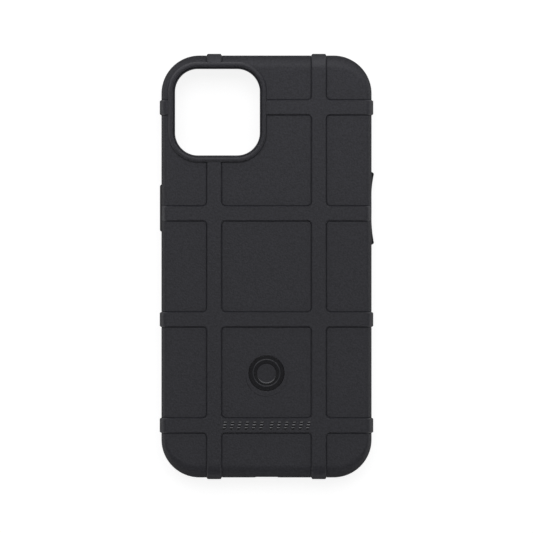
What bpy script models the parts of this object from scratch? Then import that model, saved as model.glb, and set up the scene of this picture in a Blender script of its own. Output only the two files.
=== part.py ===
"""Moulded protective case for a slab phone, lying on its front lip with its ribbed back up.

+X is to the right as the back is looked at, +Y runs to the end with the camera window, and +Z
points out of the back. The origin is on the ground under the middle of the case. Metres.
"""

import math

import bmesh
import bpy

MM = 0.001

# The phone that the case is made for, and the moulding around it.
PHONE_WIDTH = 71.5 * MM
PHONE_LENGTH = 146.7 * MM
PHONE_DEPTH = 7.65 * MM
WALL = 1.55 * MM
BACK_WALL = 1.6 * MM
LIP_DEPTH = 1.1 * MM
LIP_REACH = 1.4 * MM
CORNER_RADIUS = 13.5 * MM
BACK_ROUNDING = 2.6 * MM
FRONT_ROUNDING = 1.4 * MM

BODY_X = PHONE_WIDTH / 2 + WALL
BODY_Y = PHONE_LENGTH / 2 + WALL
BACK_Z = LIP_DEPTH + PHONE_DEPTH + BACK_WALL
SEAT_Z = LIP_DEPTH + PHONE_DEPTH
SEAT_STEP = 0.2 * MM

# Ribs: a lattice of flat bars with sloped flanks, which wraps on to the sides.
RIB_HEIGHT = 0.6 * MM
RIB_TOP = 4.9 * MM
RIB_FLANK = 0.45 * MM
RIB_X = 18.57 * MM
RIB_PITCH_Y = 37.6 * MM
PANEL_CORNER = 0.8 * MM
RIBS_ALONG = (-RIB_X, RIB_X)
RIBS_ACROSS = tuple(RIB_PITCH_Y * step for step in (-1.5, -0.5, 0.5, 1.5))
RIB_UNDER_KEYS = RIBS_ACROSS[2]

# Camera window, its raised rim and the low ledge inside the rim.
WINDOW_CENTRE = (-17.33 * MM, 54.67 * MM)
WINDOW_HALF = (15.3 * MM, 15.7 * MM)
WINDOW_CORNER = 8.3 * MM
RIM_WIDTH = 2.0 * MM
RIM_CREST = 1.1 * MM
LEDGE_WIDTH = 0.57 * MM
LEDGE_RISE = 0.15 * MM

# Keys: pads in the side walls with a thin flexing web round each.
KEY_Z = LIP_DEPTH + PHONE_DEPTH / 2
KEY_HEIGHT = 4.2 * MM
KEY_CORNER = 0.9 * MM
KEY_MOAT = 1.0 * MM
KEY_INNER_SKIN = 0.7 * MM
NUB_DEPTH = 0.3 * MM
CLEARANCE = 0.3 * MM
WEB_DEPTH = 0.5 * MM
KEY_ROUNDING = 0.4 * MM
KEY_END_SLOPE = 0.9 * MM
POWER_KEY = (12.2 * MM, 29.3 * MM)
POWER_PROUD = 0.55 * MM
VOLUME_UP_KEY = (22.6 * MM, 33.7 * MM)
VOLUME_DOWN_KEY = (7.6 * MM, 18.7 * MM)
VOLUME_PROUD = 0.84 * MM
UP_RAMP, UP_POWER = 7.0 * MM, 1.7
DOWN_RAMP, DOWN_POWER = 8.5 * MM, 1.9

# Openings in the walls.
RING_SWITCH_Y = 41.6 * MM
RING_SWITCH_SIZE = (8.6 * MM, 5.0 * MM)
PORT_SIZE = (12.6 * MM, 5.6 * MM)
PORT_RELIEF_SIZE = (8.2 * MM, 16.0 * MM)
PORT_RELIEF_DEPTH = 0.2 * MM
SOUND_SLOT_X = 11.5 * MM
SOUND_SLOT_SIZE = (6.2 * MM, 2.4 * MM)

# Badge: a smooth disc sunk in the panel, with a thin raised ring round a shallow round pit.
BADGE_Y = -37.8 * MM
BADGE_RADIUS = 6.35 * MM
BADGE_DEPTH = 0.6 * MM
BADGE_SUNK = 0.25 * MM
BADGE_RING = 4.75 * MM
BADGE_RING_RISE = 0.12 * MM
BADGE_PIT = 3.55 * MM
BADGE_PIT_DEPTH = 0.2 * MM
BOSS_RADIUS = 7.3 * MM
BOSS_RISE = 0.1 * MM

# Glossy ticks on the lowest rib: two groups of slanted bars.
TICKS_IN_GROUP = 6
TICK_PITCH = 2.6 * MM
TICK_GROUP_GAP = 1.0 * MM
TICK_SIZE = (1.3 * MM, 3.1 * MM)
TICK_LEAN = math.tan(math.radians(12))
TICK_DEPTH = 0.6 * MM
TICK_PROUD = 0.15 * MM

ARC_STEPS = 8


def clear_scene():
    for item in list(bpy.data.objects):
        bpy.data.objects.remove(item, do_unlink=True)


def make_material(name, colour, roughness, metallic=0.0):
    material = bpy.data.materials.new(name)
    material.use_nodes = True
    shader = material.node_tree.nodes["Principled BSDF"]
    shader.inputs["Base Color"].default_value = (*colour, 1.0)
    shader.inputs["Roughness"].default_value = roughness
    shader.inputs["Metallic"].default_value = metallic
    return material


def link_object(name, shape, material=None, origin=(0.0, 0.0, 0.0)):
    """Makes an object of a bmesh drawn in world coordinates, with its origin moved to a point."""
    bmesh.ops.remove_doubles(shape, verts=shape.verts, dist=1e-7)
    bmesh.ops.recalc_face_normals(shape, faces=shape.faces)
    bmesh.ops.translate(shape, verts=shape.verts, vec=[-value for value in origin])
    mesh = bpy.data.meshes.new(name)
    shape.to_mesh(mesh)
    shape.free()
    mesh.shade_smooth()
    mesh.set_sharp_from_angle(angle=math.radians(40))
    item = bpy.data.objects.new(name, mesh)
    item.location = origin
    bpy.context.scene.collection.objects.link(item)
    if material is not None:
        mesh.materials.append(material)
    return item


def make_helper(name, shape):
    """A solid that only shapes another one."""
    item = link_object(name, shape)
    item.hide_render = True
    item.display_type = "WIRE"
    return item


def add_boolean(item, helper, operation):
    modifier = item.modifiers.new(helper.name, "BOOLEAN")
    modifier.operation = operation
    modifier.object = helper
    modifier.solver = "EXACT"


def rounded_outline(half_x, half_y, radius, cuts_x=(), cuts_y=(), arc_steps=ARC_STEPS):
    """Points and outward directions round a rectangle with round corners, anticlockwise.

    cuts_x and cuts_y are further places on the straight sides that get a point.
    """
    corner_x, corner_y = half_x - radius, half_y - radius
    sides = (
        [(half_x, y, 1, 0) for y in sorted(cuts_y)],
        [(x, half_y, 0, 1) for x in sorted(cuts_x, reverse=True)],
        [(-half_x, y, -1, 0) for y in sorted(cuts_y, reverse=True)],
        [(x, -half_y, 0, -1) for x in sorted(cuts_x)],
    )
    corners = ((1, 1), (-1, 1), (-1, -1), (1, -1))
    outline = []
    for quarter, (side, (sign_x, sign_y)) in enumerate(zip(sides, corners)):
        outline += side
        for step in range(arc_steps + 1):
            angle = math.pi / 2 * (quarter + step / arc_steps)
            out_x, out_y = math.cos(angle), math.sin(angle)
            x = sign_x * corner_x + radius * out_x
            y = sign_y * corner_y + radius * out_y
            outline.append((x, y, out_x, out_y))
    return outline


def bridge(shape, rings, close_ends=True):
    """Skins a stack of closed rings of equal length, and closes its two ends."""
    rows = [[shape.verts.new(point) for point in ring] for ring in rings]
    for lower, upper in zip(rows, rows[1:]):
        for index in range(len(lower)):
            after = (index + 1) % len(lower)
            shape.faces.new((lower[index], lower[after], upper[after], upper[index]))
    if close_ends:
        shape.faces.new(reversed(rows[0]))
        shape.faces.new(rows[-1])
    return rows


def stack_rings(half_x, half_y, radius, levels, centre=(0.0, 0.0), arc_steps=ARC_STEPS):
    """Rings of a rounded rectangle at (height, inset) levels, for a solid that stands along Z."""
    rings = []
    for height, inset in levels:
        outline = rounded_outline(
            half_x - inset, half_y - inset, max(radius - inset, 0.2 * MM), arc_steps=arc_steps
        )
        rings.append([(centre[0] + x, centre[1] + y, height) for x, y, _, _ in outline])
    return rings


def stack_solid(*args, **options):
    shape = bmesh.new()
    bridge(shape, stack_rings(*args, **options))
    return shape


def side_solid(side, levels, span_y, height, radius, arc_steps=4):
    """A solid that stands along X in a side wall. levels are (distance from the middle plane, inset)."""
    middle_y = sum(span_y) / 2
    half_y = (span_y[1] - span_y[0]) / 2
    flat = stack_rings(half_y, height / 2, radius, levels, arc_steps=arc_steps)
    shape = bmesh.new()
    bridge(shape, [[(side * x, middle_y + y, KEY_Z + z) for y, z, x in ring] for ring in flat])
    return shape


# ---- Shell -----------------------------------------------------------------------------------


def flank_places(centres):
    """Places across each rib where the surface changes: its top, its flank and its round foot."""
    first = RIB_TOP / 2
    last = first + RIB_FLANK
    offsets = [first + (last - first) * step / 3 for step in range(4)] + [last + 0.35 * MM]
    return sorted(centre + sign * offset for centre in centres for offset in offsets for sign in (-1, 1))


def beyond_panels(value, centres):
    """Signed distance from a place to the nearest panel's edge along one direction, negative inside."""
    half = (RIB_TOP + RIB_FLANK) / 2
    return half - min(abs(value - centre) for centre in centres)


def rib_rise(x, y):
    """Share of the rib's height at a place on the back: 0 on a panel, 1 on a rib."""
    past_x = beyond_panels(x, RIBS_ALONG) + PANEL_CORNER
    past_y = beyond_panels(y, RIBS_ACROSS) + PANEL_CORNER
    outside = math.hypot(max(past_x, 0.0), max(past_y, 0.0))
    distance = outside + min(max(past_x, past_y), 0.0) - PANEL_CORNER
    return min(max(0.5 + distance / RIB_FLANK, 0.0), 1.0)


def edge_fade(x, y, angle):
    """How much of a rib is left at an angle round the edge, from 90 degrees on the back to -90 in front."""
    beside_keys = abs(y - RIB_UNDER_KEYS) < RIB_TOP and abs(x) > BODY_X - CORNER_RADIUS
    if beside_keys:
        return min(max((angle - math.radians(30)) / math.radians(60), 0.0), 1.0)
    return min(max(1.0 + angle / math.radians(60), 0.0), 1.0)


def edge_ring(angle, rounding, centre_z, cuts_x, cuts_y):
    """One ring round the outside, at an angle round the edge rounding, with the ribs raised."""
    outline = rounded_outline(
        BODY_X - rounding, BODY_Y - rounding, CORNER_RADIUS - rounding, cuts_x, cuts_y
    )
    ring = []
    for x, y, out_x, out_y in outline:
        rise = rib_rise(x, y) * edge_fade(x, y, angle) * RIB_HEIGHT
        reach = rounding + rise if angle >= 0 else rounding
        level = centre_z + reach * math.sin(angle)
        reach_out = (rounding + rise) * math.cos(angle)
        ring.append((x + out_x * reach_out, y + out_y * reach_out, level))
    return ring


def back_face(shape, edge_x, edge_y, cuts_x, cuts_y):
    """The flat back inside the edge rounding: a lattice of cells, and a fan in each corner."""
    corner_x, corner_y = BODY_X - CORNER_RADIUS, BODY_Y - CORNER_RADIUS
    lines_x = [-edge_x, -corner_x, *cuts_x, corner_x, edge_x]
    lines_y = [-edge_y, -corner_y, *cuts_y, corner_y, edge_y]

    def lift(x, y):
        return shape.verts.new((x, y, BACK_Z + RIB_HEIGHT * rib_rise(x, y)))

    lattice = {}
    for column, x in enumerate(lines_x):
        for row, y in enumerate(lines_y):
            outer = column in (0, len(lines_x) - 1) and row in (0, len(lines_y) - 1)
            if not outer:
                lattice[column, row] = lift(x, y)
    for column in range(len(lines_x) - 1):
        for row in range(len(lines_y) - 1):
            cell = [(column, row), (column + 1, row), (column + 1, row + 1), (column, row + 1)]
            if all(key in lattice for key in cell):
                shape.faces.new([lattice[key] for key in cell])
    radius = CORNER_RADIUS - BACK_ROUNDING
    for quarter, (sign_x, sign_y) in enumerate(((1, 1), (-1, 1), (-1, -1), (1, -1))):
        hub = shape.verts.new((sign_x * corner_x, sign_y * corner_y, BACK_Z))
        arc = []
        for step in range(ARC_STEPS + 1):
            angle = math.pi / 2 * (quarter + step / ARC_STEPS)
            x = sign_x * corner_x + radius * math.cos(angle)
            y = sign_y * corner_y + radius * math.sin(angle)
            arc.append(lift(x, y))
        for first, second in zip(arc, arc[1:]):
            shape.faces.new((hub, first, second))


def shell_outside():
    """The case as a solid block with its ribs, rounded back edge and rounded front edge."""
    cuts_x = flank_places(RIBS_ALONG)
    cuts_y = flank_places(RIBS_ACROSS)
    back_angles = [math.radians(angle) for angle in (0, 18, 36, 54, 72, 90)]
    front_angles = [math.radians(angle) for angle in (-90, -60, -30)]
    rings = [
        edge_ring(angle, FRONT_ROUNDING, FRONT_ROUNDING, cuts_x, cuts_y) for angle in front_angles
    ]
    rings.append(edge_ring(0.0, FRONT_ROUNDING, FRONT_ROUNDING, cuts_x, cuts_y))
    rings += [
        edge_ring(angle, BACK_ROUNDING, BACK_Z - BACK_ROUNDING, cuts_x, cuts_y)
        for angle in back_angles
    ]
    shape = bmesh.new()
    rows = bridge(shape, rings, close_ends=False)
    shape.faces.new(reversed(rows[0]))
    back_face(shape, BODY_X - BACK_ROUNDING, BODY_Y - BACK_ROUNDING, cuts_x, cuts_y)
    return shape


def pocket_solid():
    """The phone's room: the mouth inside the lip, the pocket, and the step round the raised seat."""
    step_z = SEAT_Z + SEAT_STEP
    levels = (
        (-1.0 * MM, LIP_REACH - 0.3 * MM),
        (0.0, LIP_REACH - 0.3 * MM),
        (0.35 * MM, LIP_REACH),
        (LIP_DEPTH, LIP_REACH),
        (LIP_DEPTH, 0.0),
        (SEAT_Z - 0.4 * MM, 0.0),
        (SEAT_Z, 0.15 * MM),
        (step_z, 0.55 * MM),
        (step_z, 2.4 * MM),
        (SEAT_Z, 2.6 * MM),
    )
    return stack_solid(PHONE_WIDTH / 2, PHONE_LENGTH / 2, CORNER_RADIUS - WALL, levels)


def rim_solid():
    """The raised rim round the camera window, filled in, from inside the back wall to its crest."""
    outer = [half + RIM_WIDTH for half in WINDOW_HALF]
    top = BACK_Z + RIM_CREST
    levels = (
        (BACK_Z - 0.8 * MM, -0.25 * MM),
        (BACK_Z, -0.25 * MM),
        (BACK_Z + RIB_HEIGHT - 0.05 * MM, 0.1 * MM),
        (top - 0.22 * MM, 0.35 * MM),
        (top - 0.04 * MM, 0.7 * MM),
        (top, 1.0 * MM),
    )
    return stack_solid(*outer, WINDOW_CORNER + RIM_WIDTH, levels, centre=WINDOW_CENTRE)


def window_solid():
    """The camera window's bore, with a low ledge and a round edge up to the rim's crest."""
    top = BACK_Z + RIM_CREST
    ledge = BACK_Z + LEDGE_RISE
    levels = (
        (SEAT_Z - 1.0 * MM, -0.25 * MM),
        (SEAT_Z, -0.25 * MM),
        (SEAT_Z + 0.3 * MM, 0.0),
        (ledge, 0.0),
        (ledge, 0.05 * MM - LEDGE_WIDTH),
        (top - 0.25 * MM, -LEDGE_WIDTH),
        (top - 0.05 * MM, -LEDGE_WIDTH - 0.2 * MM),
        (top + 1.0 * MM, -LEDGE_WIDTH - 0.9 * MM),
    )
    return stack_solid(*WINDOW_HALF, WINDOW_CORNER, levels, centre=WINDOW_CENTRE)


def key_opening(side, span_y):
    """The hole that a key and its web stand in."""
    inner = BODY_X - WALL - 1.0 * MM
    outer = BODY_X + 2.0 * MM
    opening = (span_y[0] - KEY_MOAT, span_y[1] + KEY_MOAT)
    levels = ((inner, 0.0), (outer, 0.0))
    return side_solid(side, levels, opening, KEY_HEIGHT + 2 * KEY_MOAT, KEY_CORNER + KEY_MOAT)


def ring_switch_opening():
    length, height = RING_SWITCH_SIZE
    span = (RING_SWITCH_Y - length / 2, RING_SWITCH_Y + length / 2)
    levels = (
        (BODY_X - WALL - 1.0 * MM, 0.0),
        (BODY_X - 0.5 * MM, 0.0),
        (BODY_X + 0.05 * MM, -0.45 * MM),
        (BODY_X + 2.0 * MM, -0.45 * MM),
    )
    return side_solid(1, levels, span, height, height / 2 - 0.1 * MM, arc_steps=6)


def end_opening(centre_x, size, bevel):
    """A stadium-shaped hole through the bottom wall, wider at its outer edge."""
    width, height = size
    face = BODY_Y
    levels = (
        (face - WALL - 1.0 * MM, 0.0),
        (face - bevel, 0.0),
        (face + 0.05 * MM, -bevel),
        (face + 2.0 * MM, -bevel),
    )
    flat = stack_rings(width / 2, height / 2, height / 2 - 0.1 * MM, levels, arc_steps=6)
    shape = bmesh.new()
    bridge(shape, [[(centre_x + x, -y, KEY_Z + z) for x, z, y in ring] for ring in flat])
    return shape


def port_relief():
    """A shallow flat that thins the bottom wall round the port over its whole height."""
    width, height = PORT_RELIEF_SIZE
    depth = PORT_RELIEF_DEPTH
    levels = ((BODY_Y - depth, 2 * depth), (BODY_Y, 0.0), (BODY_Y + 2.0 * MM, 0.0))
    flat = stack_rings(width / 2, height / 2, 1.0 * MM, levels, arc_steps=2)
    shape = bmesh.new()
    bridge(shape, [[(x, -y, KEY_Z + z) for x, z, y in ring] for ring in flat])
    return shape


def badge_recess():
    bottom = BACK_Z - BADGE_SUNK - BADGE_DEPTH - CLEARANCE
    radius = BADGE_RADIUS + CLEARANCE
    levels = ((bottom, 0.0), (BACK_Z + 2.0 * MM, 0.0))
    return stack_solid(radius, radius, radius, levels, centre=(0.0, BADGE_Y), arc_steps=10)


def badge_boss():
    """The low round boss that the badge stands in, with both circles meeting at the top."""
    centre = (0.0, BADGE_Y - (BOSS_RADIUS - BADGE_RADIUS))
    levels = ((BACK_Z - 0.5 * MM, 0.0), (BACK_Z + 0.02 * MM, 0.0), (BACK_Z + BOSS_RISE, 0.1 * MM))
    return stack_solid(BOSS_RADIUS, BOSS_RADIUS, BOSS_RADIUS, levels, centre=centre, arc_steps=10)


def tick_centre(index):
    group = 1 if index >= TICKS_IN_GROUP else -1
    middle = (2 * TICKS_IN_GROUP - 1) / 2
    return (index - middle) * TICK_PITCH + group * TICK_GROUP_GAP / 2


def tick_solid(centre_x, grow, bottom, top, bevel):
    """A slanted bar with round ends, standing along Z in the lowest rib."""
    half = [size / 2 + grow for size in TICK_SIZE]
    levels = ((bottom, 0.0), (top - bevel, 0.0), (top, bevel))
    rings = stack_rings(*half, 0.45 * MM + grow, levels, arc_steps=3)
    shape = bmesh.new()
    bridge(
        shape,
        [[(centre_x + x + y * TICK_LEAN, RIBS_ACROSS[0] + y, z) for x, y, z in ring] for ring in rings],
    )
    return shape


def tick_recess(index):
    bottom = BACK_Z + RIB_HEIGHT + TICK_PROUD - TICK_DEPTH - CLEARANCE
    return tick_solid(tick_centre(index), CLEARANCE, bottom, bottom + 3 * MM, 0.05 * MM)


def build_shell(rubber):
    shell = link_object("case_shell", shell_outside(), rubber)
    add_boolean(shell, make_helper("rim_fill", rim_solid()), "UNION")
    add_boolean(shell, make_helper("badge_boss", badge_boss()), "UNION")
    cutters = {
        "pocket_cut": pocket_solid(),
        "window_cut": window_solid(),
        "power_cut": key_opening(-1, POWER_KEY),
        "volume_up_cut": key_opening(1, VOLUME_UP_KEY),
        "volume_down_cut": key_opening(1, VOLUME_DOWN_KEY),
        "ring_switch_cut": ring_switch_opening(),
        "port_cut": end_opening(0.0, PORT_SIZE, 0.5 * MM),
        "speaker_cut": end_opening(SOUND_SLOT_X, SOUND_SLOT_SIZE, 0.3 * MM),
        "microphone_cut": end_opening(-SOUND_SLOT_X, SOUND_SLOT_SIZE, 0.3 * MM),
        "port_relief_cut": port_relief(),
        "badge_cut": badge_recess(),
    }
    for index in range(2 * TICKS_IN_GROUP):
        cutters[f"tick_cut_{index + 1}"] = tick_recess(index)
    for name, shape in cutters.items():
        add_boolean(shell, make_helper(name, shape), "DIFFERENCE")
    shell.modifiers.new("even_shading", "WEIGHTED_NORMAL").keep_sharp = True


# ---- Keys ------------------------------------------------------------------------------------


def end_slope(y, span_y):
    """Share of a key's rise near its ends, where it slopes up out of the wall."""
    share = min(y - span_y[0], span_y[1] - y) / KEY_END_SLOPE
    share = min(max(share, 0.0), 1.0)
    return share * (2.0 - share)


def level_face(span_y, proud):
    """The rise of a level key's face by place along Y."""

    def rise(y):
        return proud * end_slope(y, span_y)

    return rise


def scooped_face(span_y, high_end, ramp, power):
    """The rise of a volume key's face by place along Y: proud at its outer end, scooped to the wall."""
    outer = span_y[1] if high_end else span_y[0]

    def rise(y):
        run = min(max(abs(y - outer) - KEY_END_SLOPE, 0.0) / ramp, 1.0)
        return VOLUME_PROUD * (1.0 - run) ** power * end_slope(y, span_y)

    return rise


def key_solid(side, span_y, rise, middle_sections):
    """A key pad lofted along Y. rise(y) is how far its outer face stands proud of the wall."""
    low, high = span_y
    inner = BODY_X - WALL + KEY_INNER_SKIN
    ends = (0.0, 0.15 * MM, KEY_ROUNDING, KEY_END_SLOPE)
    step_y = (high - low - 2 * KEY_END_SLOPE) / (middle_sections + 1)
    places = [low + run for run in ends]
    places += [low + KEY_END_SLOPE + step_y * (step + 1) for step in range(middle_sections)]
    places += [high - run for run in reversed(ends)]
    rings = []
    for y in places:
        end_round = max(1.0 - min(y - low, high - y) / KEY_ROUNDING, 0.0)
        half_z = KEY_HEIGHT / 2 - 0.5 * MM * end_round**2
        face = BODY_X + rise(y) - 0.15 * MM * end_round
        edge = min(0.35 * MM, (face - inner) * 0.4)
        section = [
            (inner, half_z),
            (face - edge, half_z),
            (face - edge * 0.3, half_z - edge * 0.3),
            (face, half_z - edge),
            (face, edge - half_z),
            (face - edge * 0.3, edge * 0.3 - half_z),
            (face - edge, -half_z),
            (inner, -half_z),
        ]
        rings.append([(side * x, y, KEY_Z + z) for x, z in section])
    shape = bmesh.new()
    bridge(shape, rings)
    return shape


def nub_solid(side, span_y):
    """The small bar on a key's inner face that presses the phone's own button."""
    middle = sum(span_y) / 2
    half = (span_y[1] - span_y[0]) * 0.3
    inner = BODY_X - WALL + KEY_INNER_SKIN
    levels = ((inner - NUB_DEPTH, 0.15 * MM), (inner - NUB_DEPTH + 0.12 * MM, 0.0), (inner + 0.3 * MM, 0.0))
    return side_solid(side, levels, (middle - half, middle + half), 1.8 * MM, 0.8 * MM, arc_steps=3)


def build_key(name, side, span_y, rise, middle_sections, rubber):
    """A key with its origin on the wall's face at the middle of its pad, where it slides along X."""
    origin = (side * BODY_X, sum(span_y) / 2, KEY_Z)
    key = link_object(name, key_solid(side, span_y, rise, middle_sections), rubber, origin)
    add_boolean(key, make_helper(f"{name}_nub", nub_solid(side, span_y)), "UNION")
    return key


def build_web(name, side, span_y, rubber):
    """The thin frame of rubber that fills the moat round a key and flexes as it is pressed."""
    gap = CLEARANCE
    middle_y = sum(span_y) / 2
    half_y = (span_y[1] - span_y[0]) / 2
    outer_grow, inner_grow = KEY_MOAT - gap, gap
    near = BODY_X - WALL + 0.45 * MM
    far = near + WEB_DEPTH
    rings = []
    for x, grow in ((near, inner_grow), (near, outer_grow), (far, outer_grow), (far, inner_grow)):
        outline = rounded_outline(
            half_y + grow, KEY_HEIGHT / 2 + grow, KEY_CORNER + grow, arc_steps=4
        )
        rings.append([(side * x, middle_y + y, KEY_Z + z) for y, z, _, _ in outline])
    shape = bmesh.new()
    rows = bridge(shape, rings, close_ends=False)
    first, last = rows[0], rows[-1]
    for index in range(len(first)):
        after = (index + 1) % len(first)
        shape.faces.new((last[index], last[after], first[after], first[index]))
    return link_object(name, shape, rubber)


def build_keys(rubber, web_rubber):
    power_face = level_face(POWER_KEY, POWER_PROUD)
    up_face = scooped_face(VOLUME_UP_KEY, True, UP_RAMP, UP_POWER)
    down_face = scooped_face(VOLUME_DOWN_KEY, False, DOWN_RAMP, DOWN_POWER)
    build_key("power_button", -1, POWER_KEY, power_face, 3, rubber)
    build_key("volume_up_button", 1, VOLUME_UP_KEY, up_face, 8, rubber)
    build_key("volume_down_button", 1, VOLUME_DOWN_KEY, down_face, 8, rubber)
    build_web("power_web", -1, POWER_KEY, web_rubber)
    build_web("volume_up_web", 1, VOLUME_UP_KEY, web_rubber)
    build_web("volume_down_web", 1, VOLUME_DOWN_KEY, web_rubber)


# ---- Glossy inlays ---------------------------------------------------------------------------


def build_badge(gloss):
    """A turned disc below its panel's face, with a thin raised ring and a shallow pit inside it."""
    floor = BACK_Z - BADGE_SUNK
    edge = 0.12 * MM
    profile = (
        (BADGE_RADIUS, floor - BADGE_DEPTH),
        (BADGE_RADIUS, floor - edge),
        (BADGE_RADIUS - edge, floor),
        (BADGE_RING + 2 * edge, floor),
        (BADGE_RING + edge, floor + BADGE_RING_RISE),
        (BADGE_RING - edge, floor + BADGE_RING_RISE),
        (BADGE_RING - 2 * edge, floor),
        (BADGE_PIT + edge, floor),
        (BADGE_PIT - edge, floor - BADGE_PIT_DEPTH),
    )
    shape = bmesh.new()
    steps = 40
    turn = [2 * math.pi * step / steps for step in range(steps)]
    bridge(
        shape,
        [[(r * math.cos(a), BADGE_Y + r * math.sin(a), height) for a in turn] for r, height in profile],
    )
    return link_object("badge_disc", shape, gloss, (0.0, BADGE_Y, floor))


def build_ticks(gloss):
    top = BACK_Z + RIB_HEIGHT + TICK_PROUD
    for index in range(2 * TICKS_IN_GROUP):
        centre_x = tick_centre(index)
        shape = tick_solid(centre_x, 0.0, top - TICK_DEPTH, top, 0.12 * MM)
        link_object(f"rib_tick_{index + 1}", shape, gloss, (centre_x, RIBS_ACROSS[0], top))


def main():
    clear_scene()
    rubber = make_material("soft_black_rubber", (0.033, 0.033, 0.036), 0.62)
    key_rubber = make_material("key_rubber", (0.034, 0.034, 0.037), 0.55)
    web_rubber = make_material("web_rubber", (0.024, 0.024, 0.026), 0.6)
    gloss = make_material("gloss_black", (0.012, 0.012, 0.013), 0.15)
    build_shell(rubber)
    build_keys(key_rubber, web_rubber)
    build_badge(gloss)
    build_ticks(gloss)


main()
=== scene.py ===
"""Looks for a moulded phone case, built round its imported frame.

The case lies on its front lip with its ribbed back up. +X is to the right as the back is looked
at, +Y runs to the camera window's end and +Z points out of the back. Everything is in metres.
"""

from __future__ import annotations

import logging
import math
from collections.abc import Iterable, Mapping, Sequence
from dataclasses import dataclass, field
from enum import Enum
from functools import partial

import bmesh
import bpy
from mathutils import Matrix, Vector


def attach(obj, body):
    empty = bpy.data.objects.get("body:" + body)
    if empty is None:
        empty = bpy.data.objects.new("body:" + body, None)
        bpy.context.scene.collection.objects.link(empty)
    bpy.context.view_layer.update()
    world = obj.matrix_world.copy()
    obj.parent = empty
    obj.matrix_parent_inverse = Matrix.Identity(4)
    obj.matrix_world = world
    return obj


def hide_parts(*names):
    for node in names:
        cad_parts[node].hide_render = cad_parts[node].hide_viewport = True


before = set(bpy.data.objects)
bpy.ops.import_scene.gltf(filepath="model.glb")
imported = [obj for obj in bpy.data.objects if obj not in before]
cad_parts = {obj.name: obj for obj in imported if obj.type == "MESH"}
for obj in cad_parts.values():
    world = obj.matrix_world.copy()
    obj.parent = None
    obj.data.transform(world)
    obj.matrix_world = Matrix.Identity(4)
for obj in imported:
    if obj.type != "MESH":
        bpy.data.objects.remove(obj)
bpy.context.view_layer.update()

log = logging.getLogger("phone_case")

MM = 0.001
Colour = tuple[float, float, float, float]
Point = tuple[float, float, float]
OutlinePoint = tuple[float, float, float, float]
Level = tuple[float, float]
Inputs = Mapping[str | int, object]


class Side(Enum):
    """The side wall that a key stands in."""

    LEFT = -1
    RIGHT = 1


class Slot(Enum):
    """Names of the material slots. Nothing in this script uses them."""

    SHELL = "shell_rubber"
    KEY = "key_rubber"
    WEB = "web_rubber"
    BADGE = "badge_gloss"
    TICK = "tick_gloss"


class KeyForm(Enum):
    """How a key's outer face rises along its length."""

    LEVEL = "level"
    HIGH_AT_TOP = "high at the window's end"
    HIGH_AT_BOTTOM = "high at the port's end"


# ---- Node and mesh tools -----------------------------------------------------------------------


def linear(hex_colour: str) -> Colour:
    """Turns an sRGB hex colour to the linear colour that a shader takes.

    Args:
        hex_colour: the colour as "#rrggbb".

    Returns:
        Linear red, green and blue, with an alpha of 1.
    """
    parts = [int(hex_colour[place : place + 2], 16) / 255 for place in (1, 3, 5)]
    red, green, blue = (c / 12.92 if c <= 0.04045 else ((c + 0.055) / 1.055) ** 2.4 for c in parts)
    return red, green, blue, 1.0


def add_node(
    tree: bpy.types.NodeTree,
    kind: str,
    inputs: Inputs | None = None,
    **settings: object,
) -> bpy.types.Node:
    """Adds a node, sets its properties, and fills its inputs.

    Args:
        tree: the node tree to add it to.
        kind: the node's type.
        inputs: a value, or another node's output to link from, by the input's name or place.
        settings: the node's own properties by name.

    Returns:
        The new node.
    """
    node = tree.nodes.new(kind)
    for name, value in settings.items():
        setattr(node, name, value)
    for key, value in (inputs or {}).items():
        if isinstance(value, bpy.types.NodeSocket):
            tree.links.new(value, node.inputs[key])
        else:
            node.inputs[key].default_value = value
    return node


def rounded_outline(
    half_x: float,
    half_y: float,
    radius: float,
    arc_steps: int,
    cuts_x: Sequence[float] = (),
    cuts_y: Sequence[float] = (),
) -> list[OutlinePoint]:
    """Goes anticlockwise round a rectangle with round corners.

    Args:
        half_x: half of the rectangle's width.
        half_y: half of its height.
        radius: the corners' radius.
        arc_steps: steps in each corner.
        cuts_x: further places on the two sides that run along X.
        cuts_y: further places on the two sides that run along Y.

    Returns:
        Each point's place and outward direction.
    """
    corner_x, corner_y = half_x - radius, half_y - radius
    sides = (
        [(half_x, y, 1.0, 0.0) for y in sorted(cuts_y)],
        [(x, half_y, 0.0, 1.0) for x in sorted(cuts_x, reverse=True)],
        [(-half_x, y, -1.0, 0.0) for y in sorted(cuts_y, reverse=True)],
        [(x, -half_y, 0.0, -1.0) for x in sorted(cuts_x)],
    )
    corners = ((1, 1), (-1, 1), (-1, -1), (1, -1))
    outline: list[OutlinePoint] = []
    for quarter, (side, (sign_x, sign_y)) in enumerate(zip(sides, corners)):
        outline += side
        for step in range(arc_steps + 1):
            angle = math.pi / 2 * (quarter + step / arc_steps)
            out_x, out_y = math.cos(angle), math.sin(angle)
            x = sign_x * corner_x + radius * out_x
            y = sign_y * corner_y + radius * out_y
            outline.append((x, y, out_x, out_y))
    return outline


def bridge(
    shape: bmesh.types.BMesh, rings: Sequence[Sequence[Point]], close_ends: bool = True
) -> list[list[bmesh.types.BMVert]]:
    """Skins a stack of closed rings of equal length.

    Args:
        shape: the mesh to add to.
        rings: the rings' points, lowest ring first.
        close_ends: whether the first and the last ring get a face.

    Returns:
        The vertices of each ring.
    """
    rows = [[shape.verts.new(point) for point in ring] for ring in rings]
    for lower, upper in zip(rows, rows[1:]):
        for index in range(len(lower)):
            after = (index + 1) % len(lower)
            shape.faces.new((lower[index], lower[after], upper[after], upper[index]))
    if close_ends:
        shape.faces.new(reversed(rows[0]))
        shape.faces.new(rows[-1])
    return rows


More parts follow.
